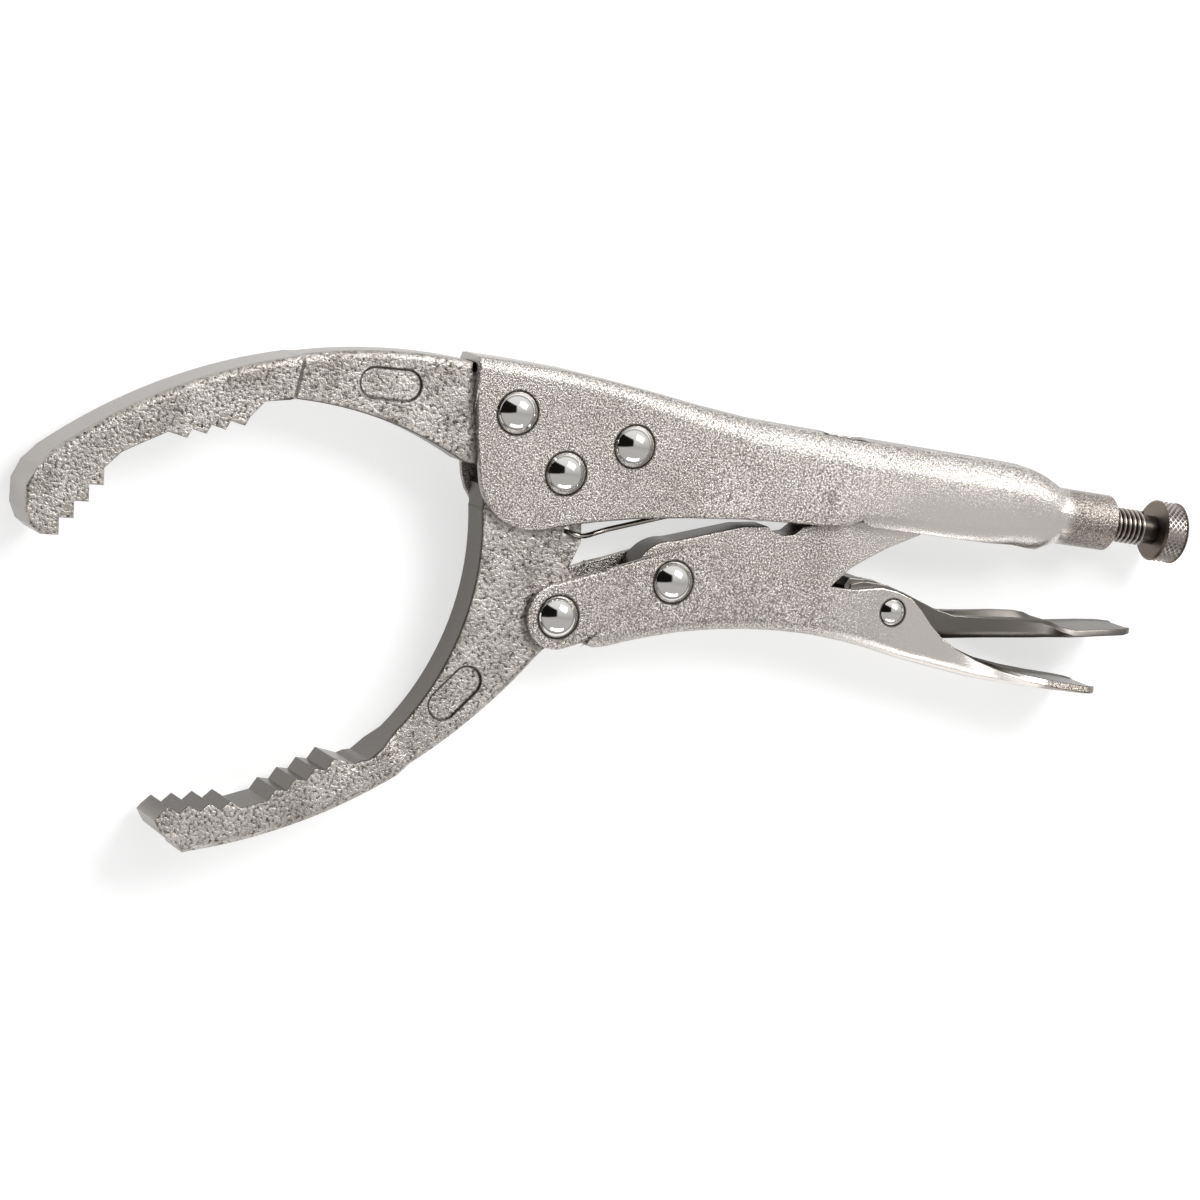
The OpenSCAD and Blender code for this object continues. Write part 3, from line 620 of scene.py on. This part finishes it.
# Adjusting screw: rolled M8 thread in dark oiled steel, its plain neck pressed into the knob.
# The thread is cut where it can be seen, from inside the handle's nose to the neck.
axis_y = 0.0489
crest_r = 0.0040
root_r = 0.0033
crest_band = (0.0036, 0.00398)
thread_steel = bpy.data.materials.new("oiled_rolled_thread")
thread_steel.use_nodes = True
tree = thread_steel.node_tree
tree.nodes.clear()
# crests rubbed bright, flanks and roots dark with oil
place = add_node(tree, "ShaderNodeTexCoord")
flat_place = add_node(tree, "ShaderNodeVectorMath", {1: (0.0, 1.0, 1.0)}, {0: place.outputs["Object"]},
                      operation="MULTIPLY")
from_axis = add_node(tree, "ShaderNodeVectorMath", {1: (0.0, axis_y, 0.0)},
                     {0: flat_place.outputs["Vector"]}, operation="DISTANCE")
crest = add_node(tree, "ShaderNodeMapRange", {"From Min": crest_band[0], "From Max": crest_band[1]},
                 {"Value": from_axis.outputs["Value"]})
tint = add_node(tree, "ShaderNodeValToRGB", links={0: crest.outputs["Result"]})
tint.color_ramp.elements[0].color = srgb("#4A443E")
tint.color_ramp.elements[1].color = srgb("#B9B2AA")
metal = add_node(tree, "ShaderNodeBsdfPrincipled", {"Metallic": 1.0, "Roughness": 0.3},
                 {"Base Color": tint.outputs["Color"]})
add_node(tree, "ShaderNodeOutputMaterial", links={"Surface": metal.outputs[0]})

pitch = 0.00125
thread_from = 0.2032
thread_to = 0.2207
first_step = 0.0001
turn_steps = 36
# one pitch of the ridge: share of the pitch, and radius
ridge_shape = ((0.0, root_r), (0.36, crest_r), (0.50, crest_r), (0.86, root_r), (1.0, root_r))
screw = solid_copy("adjusting_screw")
for x in (thread_from, thread_from + first_step):
    bmesh.ops.bisect_plane(screw, geom=screw.verts[:] + screw.edges[:] + screw.faces[:], plane_co=(x, 0, 0),
                           plane_no=(1, 0, 0))
# the bar is turned down to the root from there on, and the ridge is wound over it
for vert in screw.verts:
    reach = math.hypot(vert.co.y - axis_y, vert.co.z)
    if vert.co.x > thread_from + first_step / 2 and reach > root_r:
        vert.co.y = axis_y + (vert.co.y - axis_y) * root_r / reach
        vert.co.z *= root_r / reach
profile = [screw.verts.new((thread_from + along * pitch, axis_y + r, 0.0)) for along, r in ridge_shape]
ridge = [screw.edges.new(pair) for pair in zip(profile, profile[1:])]
turns = (thread_to - thread_from) / pitch - 1
bmesh.ops.spin(screw, geom=profile + ridge, cent=(0.0, axis_y, 0.0), axis=(1, 0, 0),
               dvec=(pitch / turn_steps, 0, 0), angle=turns * math.tau, steps=round(turns * turn_steps))
bmesh.ops.recalc_face_normals(screw, faces=screw.faces)
finish_piece(screw, "adjusting_screw_thread", "adjusting_screw", thread_steel,
             ["adjusting_screw"])

# Knob: turned steel with a cross knurl. Two families of grooves run round it on a slant and
# leave small four-sided points; the ends are plain turned faces.
knob_x = 0.2232
knob_len = 0.0062
knob_r = 0.0070
bevel = 0.0005
knurl_deep = 0.0005
knurl_round = 28
knurl_along = 4
cells = 6
near_enough = 0.00002
row_end = 0.001
knob = solid_copy("adjusting_knob")
rim_faces = [f for f in knob.faces
             if all(abs(math.hypot(v.co.y - axis_y, v.co.z) - knob_r) < near_enough for v in f.verts)]
bmesh.ops.delete(knob, geom=rim_faces, context="FACES_ONLY")
rows = knurl_along * cells
line = [knob.verts.new((knob_x + bevel + (knob_len - 2 * bevel) * i / rows, axis_y + knob_r, 0.0))
        for i in range(rows + 1)]
links = [knob.edges.new(pair) for pair in zip(line, line[1:])]
bmesh.ops.spin(knob, geom=line + links, cent=(0.0, axis_y, 0.0), axis=(1, 0, 0), angle=math.tau,
               steps=knurl_round * cells, use_merge=True)
for vert in knob.verts:
    reach = math.hypot(vert.co.y - axis_y, vert.co.z)
    along = (vert.co.x - knob_x - bevel) / (knob_len - 2 * bevel)
    if abs(reach - knob_r) > near_enough or not row_end < along < 1 - row_end:
        continue
    round_share = math.atan2(vert.co.z, vert.co.y - axis_y) / math.tau * knurl_round
    slants = [round_share + along * knurl_along, round_share - along * knurl_along]
    groove = max(abs(2 * (t - math.floor(t)) - 1) for t in slants)
    deep = knurl_deep * groove
    vert.co.y = axis_y + (vert.co.y - axis_y) * (reach - deep) / reach
    vert.co.z *= (reach - deep) / reach
bmesh.ops.recalc_face_normals(knob, faces=knob.faces)
knob_plate = thin_plate("thin_nickel_on_turned_steel", "#B0ABA7", "#776D64")
finish_piece(knob, "adjusting_knob_knurl", "adjusting_knob", knob_plate,
             ["adjusting_knob"], crease=24.0)

# Spring: hard-drawn wire, hooked through the lug of the moving jaw and over the tab of the upper
# handle. It is cut in two, the hook and the coil.
spring_steel = bpy.data.materials.new("dark_drawn_spring_wire")
spring_steel.use_nodes = True
tree = spring_steel.node_tree
tree.nodes.clear()
# drawn wire: grey, with the clean shine that the die leaves
metal = add_node(tree, "ShaderNodeBsdfPrincipled",
                 {"Metallic": 1.0, "Base Color": srgb("#ADA8A2"), "Roughness": 0.18})
add_node(tree, "ShaderNodeOutputMaterial", links={"Surface": metal.outputs[0]})
wire_split = 0.0843
# the coil sits a little high, to clear the link's back when the screw is fully in
coil_lift = 0.0008
lift_run = 0.007
coil_end = 0.132
drop_run = 0.010


def spring_part(name, inner, outer):
    wire = solid_copy("tension_spring")
    bmesh.ops.bisect_plane(wire, geom=wire.verts[:] + wire.edges[:] + wire.faces[:],
                           plane_co=(wire_split, 0, 0), plane_no=(1, 0, 0),
                           clear_inner=inner, clear_outer=outer)
    for vert in wire.verts:
        rise = min(1.0, max(0.0, (vert.co.x - wire_split) / lift_run))
        fall = min(1.0, max(0.0, (coil_end - vert.co.x) / drop_run))
        vert.co.y += coil_lift * rise * fall
    piece = finish_piece(wire, name, None, spring_steel, ["tension_spring"], crease=50.0)
    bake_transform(piece)


spring_part("spring_hook_wire", False, True)
spring_part("spring_coil_wire", True, False)
